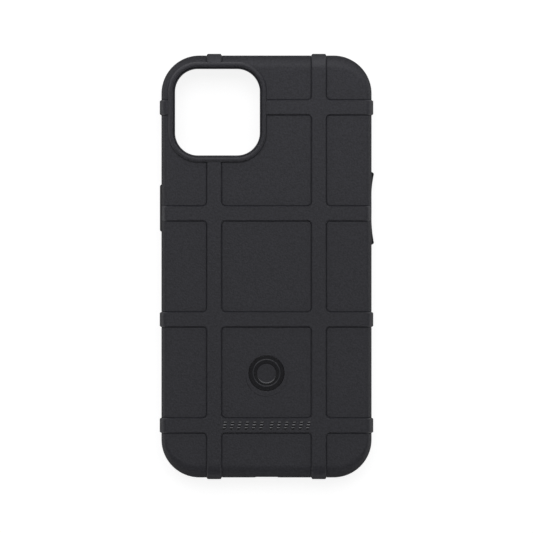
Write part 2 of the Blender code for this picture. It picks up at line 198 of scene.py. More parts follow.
def stack_rings(
    half_x: float,
    half_y: float,
    radius: float,
    levels: Iterable[Level],
    centre: tuple[float, float] = (0.0, 0.0),
    arc_steps: int = 16,
) -> list[list[Point]]:
    """Makes the rings of a rounded rectangle that changes size with its height.

    Args:
        half_x: half of the width before any inset.
        half_y: half of the length before any inset.
        radius: the corner radius before any inset.
        levels: height and inset of each ring.
        centre: the rectangle's middle.
        arc_steps: steps in each corner.

    Returns:
        The rings' points.
    """
    rings: list[list[Point]] = []
    for height, inset in levels:
        corner = max(radius - inset, 0.1 * MM)
        outline = rounded_outline(half_x - inset, half_y - inset, corner, arc_steps)
        rings.append([(centre[0] + x, centre[1] + y, height) for x, y, _, _ in outline])
    return rings


def fillet(start: Level, corner: Level, end: Level, radius: float, steps: int = 5) -> list[Level]:
    """Rounds a corner of a profile.

    Args:
        start: the point before the corner.
        corner: the corner.
        end: the point after it.
        radius: the radius of the rounding.
        steps: steps in the rounding.

    Returns:
        The rounding's points, from start's side to end's side.
    """
    here = Vector(corner)
    back = (Vector(start) - here).normalized()
    ahead = (Vector(end) - here).normalized()
    half = math.acos(max(min(back.dot(ahead), 1.0), -1.0)) / 2
    reach = radius / math.tan(half)
    centre = here + (back + ahead).normalized() * (radius / math.sin(half))
    first = here + back * reach - centre
    last = here + ahead * reach - centre
    points: list[Level] = []
    for step in range(steps + 1):
        turned = first.lerp(last, step / steps).normalized() * radius
        points.append(tuple(centre + turned))
    return points


def to_object(
    name: str, shape: bmesh.types.BMesh, finish: bpy.types.Material | None = None
) -> bpy.types.Object:
    """Welds a mesh, turns its faces outwards and links it as an object at the origin.

    Args:
        name: the object's name.
        shape: the mesh, which is freed.
        finish: its material.

    Returns:
        The object.
    """
    bmesh.ops.remove_doubles(shape, verts=shape.verts, dist=1e-6)
    bmesh.ops.recalc_face_normals(shape, faces=shape.faces)
    mesh = bpy.data.meshes.new(name)
    shape.to_mesh(mesh)
    shape.free()
    mesh.shade_smooth()
    item = bpy.data.objects.new(name, mesh)
    bpy.context.scene.collection.objects.link(item)
    if finish is not None:
        mesh.materials.append(finish)
    return item


def set_down(item: bpy.types.Object) -> bpy.types.Object:
    """Turns an object with modifiers into one plain mesh of the same name.

    Args:
        item: the object, which is replaced.

    Returns:
        The object with the result as its mesh and no modifiers.
    """
    bpy.context.view_layer.update()
    graph = bpy.context.evaluated_depsgraph_get()
    mesh = bpy.data.meshes.new_from_object(item.evaluated_get(graph), depsgraph=graph)
    item.modifiers.clear()
    item.data = mesh
    return item


def join_solids(item: bpy.types.Object, others: Sequence[bpy.types.Object], operation: str) -> None:
    """Adds solids to an object, or cuts them from it, and removes them.

    Args:
        item: the object to change.
        others: the solids.
        operation: UNION or DIFFERENCE.
    """
    group = bpy.data.collections.new(f"{item.name}_solids")
    bpy.context.scene.collection.children.link(group)
    for other in others:
        bpy.context.scene.collection.objects.unlink(other)
        group.objects.link(other)
    modifier = item.modifiers.new("solids", "BOOLEAN")
    modifier.operation = operation
    modifier.operand_type = "COLLECTION"
    modifier.collection = group
    modifier.solver = "EXACT"
    set_down(item)
    for other in others:
        bpy.data.objects.remove(other, do_unlink=True)
    bpy.data.collections.remove(group)


def even_shading(item: bpy.types.Object, sharp_angle: float = 38.0) -> None:
    """Marks the sharp edges and weights the normals by area, so that flat faces look flat.

    Args:
        item: the object.
        sharp_angle: the least angle in degrees between two faces that stays sharp.
    """
    item.data.shade_smooth()
    item.data.set_sharp_from_angle(angle=math.radians(sharp_angle))
    weighted = item.modifiers.new("even_shading", "WEIGHTED_NORMAL")
    weighted.keep_sharp = True
    weighted.weight = 60
    set_down(item)


def register(item: bpy.types.Object, body: str, nodes: Sequence[str]) -> None:
    """Puts a finished piece on its CAD body, in place of the nodes that it stands for.

    Args:
        item: the finished piece.
        body: the CAD body that it moves with.
        nodes: the CAD nodes that it replaces.
    """
    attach(item, body)
    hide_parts(*nodes)
    item.data.calc_loop_triangles()
    log.info("%s: %d triangles on %s", item.name, len(item.data.loop_triangles), body)


class ShapeTree:
    """A Geometry Nodes tree with named sizes, which is run once and leaves a plain mesh."""

    SOCKETS = {float: "NodeSocketFloat", int: "NodeSocketInt", tuple: "NodeSocketVector"}

    def __init__(self, name: str, sizes: Mapping[str, float | int | tuple]) -> None:
        """Makes the tree and its inputs.

        Args:
            name: the tree's name.
            sizes: the value of each named input.
        """
        self.name = name
        self.sizes = dict(sizes)
        self.tree = bpy.data.node_groups.new(name, "GeometryNodeTree")
        face = self.tree.interface
        face.new_socket(name="Geometry", in_out="INPUT", socket_type="NodeSocketGeometry")
        self.places = {
            label: face.new_socket(
                name=label, in_out="INPUT", socket_type=self.SOCKETS[type(value)]
            ).identifier
            for label, value in self.sizes.items()
        }
        self.places["Finish"] = face.new_socket(
            name="Finish", in_out="INPUT", socket_type="NodeSocketMaterial"
        ).identifier
        face.new_socket(name="Geometry", in_out="OUTPUT", socket_type="NodeSocketGeometry")
        self.source = self.tree.nodes.new("NodeGroupInput")

    def size(self, label: str) -> bpy.types.NodeSocket:
        """Gives the output of one named input."""
        return self.source.outputs[label]

    def add(self, kind: str, inputs: Inputs | None = None, **settings: object) -> bpy.types.Node:
        """Adds a geometry node. kind leaves out the type's first word."""
        return add_node(self.tree, f"GeometryNode{kind}", inputs, **settings)

    def math(self, operation: str, *values: object) -> bpy.types.NodeSocket:
        """Adds a sum on one to three values and gives its result."""
        inputs = dict(enumerate(values))
        return add_node(self.tree, "ShaderNodeMath", inputs, operation=operation).outputs[0]

    def close(self, geometry: bpy.types.NodeSocket) -> None:
        """Ends the tree with real meshes in one finish.

        Args:
            geometry: the last node's output.
        """
        real = self.add("RealizeInstances", {"Geometry": geometry})
        dressed = self.add("SetMaterial", {"Geometry": real.outputs[0], "Material": self.size("Finish")})
        add_node(self.tree, "NodeGroupOutput", {"Geometry": dressed.outputs[0]})

    def run(self, item: bpy.types.Object, finish: bpy.types.Material) -> bpy.types.Object:
        """Runs the tree on an object's mesh.

        Args:
            item: the object that gives the tree its mesh.
            finish: the material of the result.

        Returns:
            The same object with the result as its mesh.
        """
        modifier = item.modifiers.new(self.name, "NODES")
        modifier.node_group = self.tree
        for label, value in self.sizes.items():
            modifier[self.places[label]] = value
        modifier[self.places["Finish"]] = finish
        return set_down(item)


# ---- Finishes ----------------------------------------------------------------------------------


class Finish:
    """What every finish shares: a material with its shader and Object coordinates."""

    specular: float = 0.5
    ior: float = 1.5

    def begin(self, name: str) -> tuple[bpy.types.Material, bpy.types.Node, bpy.types.NodeSocket]:
        """Makes an empty material.

        Args:
            name: the material's name.

        Returns:
            The material, its shader node and its Object coordinates.
        """
        material = bpy.data.materials.new(name)
        material.use_nodes = True
        shader = material.node_tree.nodes["Principled BSDF"]
        place = add_node(material.node_tree, "ShaderNodeTexCoord").outputs["Object"]
        return material, shader, place

    def finish_off(
        self,
        material: bpy.types.Material,
        shader: bpy.types.Node,
        colour: bpy.types.NodeSocket,
        roughness: bpy.types.NodeSocket,
        relief: bpy.types.NodeSocket,
    ) -> None:
        """Links what varies over the surface and sets the rubber's constants.

        Args:
            material: the material.
            shader: its shader node.
            colour: the base colour.
            roughness: the roughness.
            relief: the bumped normal.
        """
        for name, output in (("Base Color", colour), ("Roughness", roughness), ("Normal", relief)):
            material.node_tree.links.new(output, shader.inputs[name])
        shader.inputs["Specular IOR Level"].default_value = self.specular
        shader.inputs["IOR"].default_value = self.ior


@dataclass(frozen=True)
class MouldedTPU(Finish):
    """Moulded TPU from a spark-eroded tool.

    The eroded tool leaves an even fine grain, so the rubber is matte and its highlights are wide
    and soft. Hands polish the tops of the ribs a little, and skin oil leaves faint cloudy areas.
    The side walls were eroded more coarsely for grip, so they are duller than the back; their darker tone
    is painted shade.
    """

    name: str = "moulded TPU"
    tone: str = "#2f2f34"
    cloud_tone: str = "#2c2c31"
    rib_tone: str = "#2d2d32"
    # Painted shade: the side walls get a darker tone than the back.
    painted_wall_shade_tone: str = "#212125"
    roughness: float = 0.52
    wall_roughness: float = 0.9
    # Eroded grain is about 0.05 mm, which is too fine to show, so it is drawn at 0.6 mm.
    grain: float = 0.6 * MM
    grain_height: float = 0.06 * MM
    # Painted light: the colour grows lighter towards the window's end, for the light that falls from that
    # end.
    painted_light_from: float = 5.0 * MM
    painted_light_to: float = 72.0 * MM
    painted_light_gain: float = 1.26
    speck: float = 0.35
    unevenness: float = 0.03
    rib_polish: float = 0.03
    cloud: float = 14.0 * MM
    panel_level: float = 10.35 * MM
    rib_level: float = 10.95 * MM
    wall_level: float = 9.0 * MM

    def build(self) -> bpy.types.Material:
        """Builds the material.

        Returns:
            The finished material.
        """
        material, shader, place = self.begin(self.name)
        add = partial(add_node, material.node_tree)
        grain = add(
            "ShaderNodeTexNoise",
            {"Vector": place, "Scale": 1 / self.grain, "Detail": 2.0, "Roughness": 0.6},
        ).outputs["Fac"]
        cloud = add(
            "ShaderNodeTexNoise",
            {"Vector": place, "Scale": 1 / self.cloud, "Detail": 3.0, "Roughness": 0.55},
        ).outputs["Fac"]
        parts = add("ShaderNodeSeparateXYZ", {0: place}).outputs
        steps = {
            # Painted light: the colour's gain rises along Y towards the window's end.
            "painted_light_gain": (parts["Y"], self.painted_light_from, self.painted_light_to, 1.0, self.painted_light_gain),
            "on_rib": (parts["Z"], self.panel_level, self.rib_level, 0.0, 1.0),
            "on_wall": (parts["Z"], self.panel_level, self.wall_level, 0.0, 1.0),
            "speck": (grain, 0.3, 0.7, 1 - self.speck, 1 + self.speck),
            "gloss": (cloud, 0.3, 0.7, self.roughness - self.unevenness, self.roughness + self.unevenness),
        }
        share = {
            name: add("ShaderNodeMapRange", dict(enumerate(values))).outputs["Result"]
            for name, values in steps.items()
        }
        tone = linear(self.cloud_tone)
        # The cloud layer varies at random, and the wall layer is painted shade on the side walls.
        layers = ((cloud, self.tone), (share["on_rib"], self.rib_tone), (share["on_wall"], self.painted_wall_shade_tone))
        for factor, layer in layers:
            inputs = {"Factor": factor, 6: tone, 7: linear(layer)}
            tone = add("ShaderNodeMix", inputs, data_type="RGBA").outputs[2]
        # The colour is scaled by the grain's specks and by the painted light towards the window's end.
        inputs = {0: share["speck"], 1: share["painted_light_gain"]}
        shade = add("ShaderNodeMath", inputs, operation="MULTIPLY").outputs[0]
        coloured = add("ShaderNodeVectorMath", {0: tone, "Scale": shade}, operation="SCALE").outputs[0]
        dull = share["gloss"]
        duller = self.wall_roughness - self.roughness
        for factor, change in ((share["on_rib"], -self.rib_polish), (share["on_wall"], duller)):
            inputs = {0: factor, 1: change, 2: dull}
            dull = add("ShaderNodeMath", inputs, operation="MULTIPLY_ADD").outputs[0]
        inputs = {"Strength": 1.0, "Distance": self.grain_height, "Height": grain}
        self.finish_off(material, shader, coloured, dull, add("ShaderNodeBump", inputs).outputs[0])
        return material


@dataclass(frozen=True)
class GlossTPU(Finish):
    """TPU moulded against a polished part of the tool.

    The polished steel leaves a smooth wet-looking black face with sharp highlights. A slight
    waviness bends them, and handling leaves fine short scuffs that show as duller specks.
    """

    name: str = "polished TPU"
    tone: str = "#1d1d20"
    roughness: float = 0.2
    scuffed: float = 0.34
    coat: float = 0.3
    coat_roughness: float = 0.12
    wave: float = 1.6 * MM
    wave_height: float = 0.006 * MM
    # Real scuffs are about 0.02 mm wide and are drawn at 0.3 mm, so that they show.
    scuff: float = 0.3 * MM

    def build(self) -> bpy.types.Material:
        """Builds the material.

        Returns:
            The finished material.
        """
        material, shader, place = self.begin(self.name)
        add = partial(add_node, material.node_tree)
        wave = add(
            "ShaderNodeTexNoise", {"Vector": place, "Scale": 1 / self.wave, "Detail": 1.0}
        ).outputs["Fac"]
        scuff = add(
            "ShaderNodeTexNoise",
            {"Vector": place, "Scale": 1 / self.scuff, "Detail": 4.0, "Roughness": 0.7},
        ).outputs["Fac"]
        dulled, shade = (
            add("ShaderNodeMapRange", dict(enumerate((scuff, *span)))).outputs["Result"]
            for span in ((0.45, 0.75, self.roughness, self.scuffed), (0.3, 0.8, 0.9, 1.15))
        )
        inputs = {0: linear(self.tone)[:3], "Scale": shade}
        coloured = add("ShaderNodeVectorMath", inputs, operation="SCALE").outputs[0]
        inputs = {"Strength": 1.0, "Distance": self.wave_height, "Height": wave}
        self.finish_off(material, shader, coloured, dulled, add("ShaderNodeBump", inputs).outputs[0])
        shader.inputs["Coat Weight"].default_value = self.coat
        shader.inputs["Coat Roughness"].default_value = self.coat_roughness
        return material


@dataclass(frozen=True)
class LitTable(Finish):
    """Pale acrylic of a table lit from below: an even white that keeps shadows faint."""

    name: str = "white acrylic table"
    tone: str = "#9f9f9e"
    glow: float = 0.87
    mottle: float = 180.0 * MM

    def build(self) -> bpy.types.Material:
        """Builds the material.

        Returns:
            The finished material.
        """
        material, shader, place = self.begin(self.name)
        tree = material.node_tree
        mottle = add_node(
            tree, "ShaderNodeTexNoise", {"Vector": place, "Scale": 1 / self.mottle, "Detail": 2.0}
        ).outputs["Fac"]
        rough = add_node(
            tree, "ShaderNodeMapRange", {"Value": mottle, "To Min": 0.55, "To Max": 0.75}
        ).outputs["Result"]
        tree.links.new(rough, shader.inputs["Roughness"])
        shader.inputs["Base Color"].default_value = linear(self.tone)
        shader.inputs["Specular IOR Level"].default_value = 0.2
        shader.inputs["Emission Color"].default_value = (1.0, 1.0, 1.0, 1.0)
        shader.inputs["Emission Strength"].default_value = self.glow
        return material


# ---- Shell -------------------------------------------------------------------------------------


@dataclass(frozen=True)
class Body:
    """Sizes that the shell shares with the pieces in it."""

    half_x: float = 37.3 * MM
    half_y: float = 74.9 * MM
    corner: float = 13.5 * MM
    back: float = 10.35 * MM
    seat: float = 8.75 * MM
    wall: float = 1.55 * MM
    lip_depth: float = 1.1 * MM
    lip_reach: float = 1.4 * MM
    key_level: float = 4.925 * MM
    key_height: float = 4.2 * MM
    key_corner: float = 0.9 * MM
    key_moat: float = 1.0 * MM
    rib_height: float = 0.6 * MM


@dataclass(frozen=True)
class KeyPlan:
    """One key's place and form."""

    name: str
    side: Side
    low: float
    high: float
    form: KeyForm
    proud: float
    ramp: float = 1.0 * MM
    power: float = 1.0

    @property
    def middle(self) -> float:
        """The key's middle along Y."""
        return (self.low + self.high) / 2


POWER = KeyPlan("power", Side.LEFT, 12.2 * MM, 29.3 * MM, KeyForm.LEVEL, 0.55 * MM)
VOLUME_UP = KeyPlan(
    "volume_up", Side.RIGHT, 22.6 * MM, 33.7 * MM, KeyForm.HIGH_AT_TOP, 0.84 * MM, 7.0 * MM, 1.7
)
VOLUME_DOWN = KeyPlan(
    "volume_down", Side.RIGHT, 7.6 * MM, 18.7 * MM, KeyForm.HIGH_AT_BOTTOM, 0.84 * MM, 8.5 * MM, 1.9
)
KEYS = (POWER, VOLUME_UP, VOLUME_DOWN)


def side_solid(
    body: Body,
    side: Side,
    levels: Sequence[Level],
    span: tuple[float, float],
    height: float,
    radius: float,
    arc_steps: int = 10,
) -> bmesh.types.BMesh:
    """Makes a solid that stands along X in a side wall.

    Args:
        body: the case's sizes.
        side: which wall.
        levels: distance from the middle plane and inset of each ring.
        span: its two ends along Y.
        height: its size along Z.
        radius: its corner radius.
        arc_steps: steps in each corner.

    Returns:
        The solid.
    """
    middle = sum(span) / 2
    half = (span[1] - span[0]) / 2
    rings = stack_rings(half, height / 2, radius, levels, arc_steps=arc_steps)
    shape = bmesh.new()
    turned = [[(side.value * x, middle + y, body.key_level + z) for y, z, x in ring] for ring in rings]
    bridge(shape, turned)
    return shape


@dataclass
class RibLattice:
    """The ribs' plan: two long ribs and four cross ribs with steep flanks and a groove at the foot."""

    height: float = 0.6 * MM
    top: float = 4.93 * MM
    flank: float = 0.42 * MM
    long_rib: float = 18.57 * MM
    cross_pitch: float = 37.6 * MM
    panel_corner: float = 1.4 * MM
    under_keys: float = 18.8 * MM
    foot_shift: float = 0.02 * MM
    foot_softness: float = 0.1
    roundness: float = 1.2
    groove_half: float = 0.11 * MM
    groove_depth: float = 0.17 * MM

    def lines(self, centres: Sequence[float], ends: Sequence[float], longest: float) -> list[float]:
        """Gives the mesh lines across the ribs: close on the flanks and wide on the flats.

        Args:
            centres: the ribs' middles.
            ends: the places where the lines begin and end.
            longest: the widest gap between two lines.

        Returns:
            The lines' places between the two ends, in order.
        """
        foot = (self.top + self.flank) / 2 + self.foot_shift
        offsets = [0.0, foot - self.flank - 0.1 * MM]
        offsets += [foot - self.flank * step / 8 for step in range(9)]
        offsets += [foot + self.groove_half * step / 2 for step in range(1, 5)]
        offsets += [foot + 2 * self.groove_half + 0.1 * MM * step for step in range(1, 13)]
        marks = sorted({c + s * o for c in centres for o in offsets for s in (-1, 1)} | set(ends))
        lines: list[float] = []
        for first, second in zip(marks, marks[1:]):
            parts = max(1, math.ceil((second - first) / longest))
            lines += [first + (second - first) * part / parts for part in range(parts)]
        return lines[1:]

    def relief(self) -> ShapeTree:
        """Builds the tree that raises the ribs out of the plain back.

        A flank is straight and steep, with a fine groove along its foot where the tool's ribs
        were let in, and a barely rounded crest. Each point carries its place on the plan with
        the share of a rib that is left there, and the direction that a rib grows in.

        Returns:
            The tree.
        """
        tree = ShapeTree(
            "rib_relief",
            {
                "Rib height": self.height,
                "Rib top": self.top,
                "Flank": self.flank,
                "Long rib place": self.long_rib,
                "Cross rib pitch": self.cross_pitch,
                "Panel corner": self.panel_corner,
                "Foot shift": self.foot_shift,
                "Foot softness": self.foot_softness,
                "Roundness": self.roundness,
                "Groove half": self.groove_half,
                "Groove depth": self.groove_depth,
            },
        )
        plan = tree.add("InputNamedAttribute", {"Name": "plan"}, data_type="FLOAT_VECTOR")
        place = add_node(tree.tree, "ShaderNodeSeparateXYZ", {0: plan.outputs["Attribute"]})
        half = tree.math("MULTIPLY", tree.math("ADD", tree.size("Rib top"), tree.size("Flank")), 0.5)
        reach = tree.math("ADD", half, tree.size("Panel corner"))
        from_long = tree.math(
            "ABSOLUTE",
            tree.math("SUBTRACT", tree.math("ABSOLUTE", place.outputs[0]), tree.size("Long rib place")),
        )
        pitch = tree.size("Cross rib pitch")
        folded = tree.math(
            "ABSOLUTE", tree.math("SUBTRACT", tree.math("ABSOLUTE", place.outputs[1]), pitch)
        )
        from_cross = tree.math("ABSOLUTE", tree.math("MULTIPLY_ADD", pitch, -0.5, folded))
        past_x = tree.math("SUBTRACT", reach, from_long)
        past_y = tree.math("SUBTRACT", reach, from_cross)
        out_x = tree.math("MAXIMUM", past_x, 0.0)
        out_y = tree.math("MAXIMUM", past_y, 0.0)
        squares = tree.math("MULTIPLY_ADD", out_x, out_x, tree.math("MULTIPLY", out_y, out_y))
        inside = tree.math("MINIMUM", tree.math("MAXIMUM", past_x, past_y), 0.0)
        distance = tree.math(
            "SUBTRACT",
            tree.math("ADD", tree.math("SQRT", squares), inside),
            tree.size("Panel corner"),
        )
        from_foot = tree.math("ADD", distance, tree.size("Foot shift"))
        past_foot = tree.math("DIVIDE", from_foot, tree.size("Flank"))
        half_groove = tree.size("Groove half")
        off_groove = tree.math("ABSOLUTE", tree.math("ADD", from_foot, half_groove))
        in_groove = tree.math(
            "MAXIMUM", tree.math("SUBTRACT", 1.0, tree.math("DIVIDE", off_groove, half_groove)), 0.0
        )
        sunk = tree.math("MULTIPLY", in_groove, tree.size("Groove depth"))
        up_flank = tree.math("SMOOTH_MAX", past_foot, 0.0, tree.size("Foot softness"))
        left = tree.math("SUBTRACT", 1.0, tree.math("MINIMUM", up_flank, 1.0))
        share = tree.math("SUBTRACT", 1.0, tree.math("POWER", left, tree.size("Roundness")))
        grown = tree.math("SUBTRACT", tree.math("MULTIPLY", share, tree.size("Rib height")), sunk)
        rise = tree.math("MULTIPLY", grown, place.outputs[2])
        outward = tree.add("InputNamedAttribute", {"Name": "outward"}, data_type="FLOAT_VECTOR")
        offset = add_node(
            tree.tree,
            "ShaderNodeVectorMath",
            {0: outward.outputs["Attribute"], "Scale": rise},
            operation="SCALE",
        ).outputs[0]
        moved = tree.add("SetPosition", {"Geometry": tree.size("Geometry"), "Offset": offset})
        tree.close(moved.outputs[0])
        return tree


@dataclass
class CaseShell:
    """The moulded shell: walls, lip, back with its ribs, window rim, pocket and openings."""

    finish: bpy.types.Material
    body: Body = field(default_factory=Body)
    ribs: RibLattice = field(default_factory=RibLattice)
    back_rounding: float = 2.6 * MM
    side_reach: float = 2.1 * MM
    end_reach: float = 4.6 * MM
    front_rounding: float = 1.4 * MM
    arc_steps: int = 24
    window_centre: tuple[float, float] = (-17.4 * MM, 54.72 * MM)
    window_half: tuple[float, float] = (15.03 * MM, 15.33 * MM)
    window_corner: float = 8.1 * MM
    window_arc_steps: int = 28
    rim_width: float = 2.45 * MM
    rim_crest: float = 1.1 * MM
    ledge_width: float = 0.75 * MM
    ledge_rise: float = 0.2 * MM
    ledge_fall: float = 0.22 * MM
    badge_y: float = -37.8 * MM
    badge_radius: float = 6.35 * MM
    badge_sunk: float = 0.25 * MM
    boss_radius: float = 7.3 * MM
    boss_rise: float = 0.15 * MM
    ring_switch_y: float = 41.6 * MM
    ring_switch_size: tuple[float, float] = (8.6 * MM, 5.0 * MM)
    port_size: tuple[float, float] = (12.6 * MM, 5.6 * MM)
    port_relief_size: tuple[float, float] = (8.2 * MM, 16.0 * MM)
    port_relief_depth: float = 0.2 * MM
    sound_slot_x: float = 11.5 * MM
    sound_slot_size: tuple[float, float] = (6.2 * MM, 2.4 * MM)

    def rib_share_left(self, x: float, y: float, angle: float) -> float:
        """Gives how much of a rib is left at an angle round the edge.

        Args:
            x: place across the case.
            y: place along the case.
            angle: from 90 degrees on the back to -90 in front, in radians.

        Returns:
            A share from 0 to 1.
        """
        by_keys = abs(y - self.ribs.under_keys) < self.ribs.top
        if by_keys and abs(x) > self.body.half_x - self.body.corner:
            share = (angle - math.radians(30)) / math.radians(60)
        else:
            share = 1.0 + angle / math.radians(60)
        return min(max(share, 0.0), 1.0)

    def blank(self) -> bpy.types.Object:
        """Makes the plain slab that the ribs are raised from.

        Returns:
            The slab, whose points carry the attributes plan and outward.
        """
        body = self.body
        radial_x = [(body.corner - self.side_reach) * step / 5 for step in range(1, 6)]
        radial_y = [(body.corner - self.end_reach) * step / 5 for step in range(1, 6)]
        corner_x, corner_y = body.half_x - body.corner, body.half_y - body.corner
        long_ribs = (-self.ribs.long_rib, self.ribs.long_rib)
        cross_ribs = [self.ribs.cross_pitch * place for place in (-1.5, -0.5, 0.5, 1.5)]
        cuts_x = self.ribs.lines(long_ribs, (-corner_x, corner_x), 2.5 * MM)
        cuts_y = self.ribs.lines(cross_ribs, (-corner_y, corner_y), 2.5 * MM)
        shape = bmesh.new()
        plan = shape.verts.layers.float_vector.new("plan")
        outward = shape.verts.layers.float_vector.new("outward")

        def mark(vert: bmesh.types.BMVert, x: float, y: float, share: float, way: Point) -> None:
            """Writes the two attributes of one point."""
            vert[plan] = (x, y, share)
            vert[outward] = way

        front, back = self.front_rounding, self.back_rounding
        in_front = (front, front, front)
        behind = (self.side_reach, self.end_reach, back)
        turns = [(math.radians(-90 + 10 * step), in_front, front) for step in range(10)]
        turns += [(0.0, in_front, front + (body.back - back - front) * part / 4) for part in (1, 2, 3)]
        turns += [(math.radians(6 * step), behind, body.back - back) for step in range(16)]
        outline = rounded_outline(
            body.half_x, body.half_y, body.corner, self.arc_steps, cuts_x, cuts_y
        )
        rows: list[list[bmesh.types.BMVert]] = []
        for angle, (reach_x, reach_y, depth), centre in turns:
            across, up = math.cos(angle), math.sin(angle)
            row = []
            for x, y, out_x, out_y in outline:
                inner_x, inner_y = x - out_x * reach_x, y - out_y * reach_y
                spot = (inner_x + out_x * reach_x * across, inner_y + out_y * reach_y * across)
                vert = shape.verts.new((*spot, centre + depth * up))
                level = across / math.hypot(out_x * reach_x, out_y * reach_y)
                steep = max(up, 0.0) / depth
                size = math.hypot(level, steep) if angle > 0 else level / across if across else 1.0
                way = (out_x * level / size, out_y * level / size, steep / size)
                mark(vert, inner_x, inner_y, self.rib_share_left(inner_x, inner_y, angle), way)
                row.append(vert)
            rows.append(row)
        for lower, upper in zip(rows, rows[1:]):
            for index in range(len(lower)):
                after = (index + 1) % len(lower)
                shape.faces.new((lower[index], lower[after], upper[after], upper[index]))
        shape.faces.new(reversed(rows[0]))

        def lift(x: float, y: float) -> bmesh.types.BMVert:
            """Adds one point of the flat back."""
            vert = shape.verts.new((x, y, body.back))
            mark(vert, x, y, 1.0, (0.0, 0.0, 1.0))
            return vert

        outer_x = [corner_x + run for run in radial_x]
        outer_y = [corner_y + run for run in radial_y]
        lines_x = [-x for x in reversed(outer_x)] + [-corner_x, *cuts_x, corner_x] + outer_x
        lines_y = [-y for y in reversed(outer_y)] + [-corner_y, *cuts_y, corner_y] + outer_y
        tiny = 1e-9
        lattice = {
            (column, row): lift(x, y)
            for column, x in enumerate(lines_x)
            for row, y in enumerate(lines_y)
            if abs(x) < corner_x + tiny or abs(y) < corner_y + tiny
        }
        for column, row in lattice:
            cell = [(column, row), (column + 1, row), (column + 1, row + 1), (column, row + 1)]
            if all(place in lattice for place in cell):
                shape.faces.new([lattice[place] for place in cell])
        for quarter, (sign_x, sign_y) in enumerate(((1, 1), (-1, 1), (-1, -1), (1, -1))):
            hub = lift(sign_x * corner_x, sign_y * corner_y)
            inner = [hub] * (self.arc_steps + 1)
            for radius_x, radius_y in zip(radial_x, radial_y):
                arc = []
                for step in range(self.arc_steps + 1):
                    angle = math.pi / 2 * (quarter + step / self.arc_steps)
                    x = sign_x * corner_x + radius_x * math.cos(angle)
                    y = sign_y * corner_y + radius_y * math.sin(angle)
                    arc.append(lift(x, y))
                for step in range(self.arc_steps):
                    corners = dict.fromkeys((inner[step], arc[step], arc[step + 1], inner[step + 1]))
                    shape.faces.new(list(corners))
                inner = arc
        return to_object("case_shell_finished", shape)

    def stack(self, name: str, *args: object, **options: object) -> bpy.types.Object:
        """Makes a solid of stacked rounded rectangles. It takes what stack_rings takes."""
        shape = bmesh.new()
        bridge(shape, stack_rings(*args, **options))
        return to_object(name, shape)

    def rim(self) -> bpy.types.Object:
        """Makes the window's raised rim, filled in.

        Returns:
            The solid, to be added to the shell.
        """
        top = self.body.back + self.rim_crest
        base = self.body.back
        foot, shoulder = (-0.05 * MM, base), (0.2 * MM, base + 0.75 * MM)
        crest, flat = (0.62 * MM, top), (1.8 * MM, top)
        levels = [(base - 0.8 * MM, -0.2 * MM), (base - 0.15 * MM, -0.1 * MM), (foot[1], foot[0])]
        levels += [(z, inset) for inset, z in fillet(foot, shoulder, crest, 0.4 * MM)]
        levels += [(z, inset) for inset, z in fillet(shoulder, crest, flat, 0.35 * MM)]
        return self.stack(
            "rim",
            self.window_half[0] + self.rim_width,
            self.window_half[1] + self.rim_width,
            self.window_corner + self.rim_width,
            levels,
            centre=self.window_centre,
            arc_steps=self.window_arc_steps,
        )

    def window(self) -> bpy.types.Object:
        """Makes the window's bore with the low ledge and the fine groove inside the rim.

        Returns:
            The solid, to be cut from the shell.
        """
        top = self.body.back + self.rim_crest
        ledge = self.body.back + self.ledge_rise
        bore_end = ledge - self.ledge_fall
        wall = -self.ledge_width
        levels = [
            (self.body.seat - 1.0 * MM, -0.25 * MM),
            (self.body.seat - 0.02 * MM, -0.25 * MM),
            (self.body.seat + 0.1 * MM, -0.1 * MM),
            (self.body.seat + 0.3 * MM, 0.0),
            (bore_end - 0.1 * MM, 0.0),
            (bore_end - 0.03 * MM, -0.02 * MM),
            (bore_end + 0.02 * MM, -0.09 * MM),
            (ledge - 0.03 * MM, wall + 0.3 * MM),
            (ledge - 0.25 * MM, wall + 0.16 * MM),
            (ledge - 0.2 * MM, wall + 0.04 * MM),
            (ledge + 0.05 * MM, wall),
            (top - 0.26 * MM, wall),
            (top - 0.17 * MM, wall - 0.04 * MM),
            (top - 0.12 * MM, wall - 0.14 * MM),
            (top - 0.02 * MM, wall - 0.4 * MM),
            (top + 0.003 * MM, wall - 0.55 * MM),
            (top + 0.4 * MM, wall - 0.65 * MM),
        ]
        return self.stack(
            "window",
            *self.window_half,
            self.window_corner,
            levels,
            centre=self.window_centre,
            arc_steps=self.window_arc_steps,
        )

    def pocket(self) -> bpy.types.Object:
        """Makes the phone's room: the mouth inside the lip, the pocket and the raised seat's step.

        Returns:
            The solid, to be cut from the shell.
        """
        body = self.body
        step = body.seat + 0.2 * MM
        levels = [
            (-1.0 * MM, body.lip_reach - 0.3 * MM),
            (-0.01 * MM, body.lip_reach - 0.3 * MM),
            (0.08 * MM, body.lip_reach - 0.16 * MM),
            (0.2 * MM, body.lip_reach - 0.05 * MM),
            (0.35 * MM, body.lip_reach),
            (body.lip_depth - 0.2 * MM, body.lip_reach),
            (body.lip_depth - 0.06 * MM, body.lip_reach - 0.06 * MM),
            (body.lip_depth, body.lip_reach - 0.2 * MM),
            (body.lip_depth, 0.25 * MM),
            (body.lip_depth + 0.07 * MM, 0.07 * MM),
            (body.lip_depth + 0.25 * MM, 0.0),
            (body.seat - 0.6 * MM, 0.0),
            (body.seat - 0.3 * MM, 0.05 * MM),
            (body.seat, 0.15 * MM),
            (body.seat + 0.12 * MM, 0.3 * MM),
            (step, 0.55 * MM),
            (step, 2.35 * MM),
            (step - 0.06 * MM, 2.5 * MM),
            (body.seat + 0.04 * MM, 2.6 * MM),
            (body.seat, 2.7 * MM),
        ]
        half_x, half_y = body.half_x - body.wall, body.half_y - body.wall
        return self.stack("pocket", half_x, half_y, body.corner - body.wall, levels, arc_steps=20)

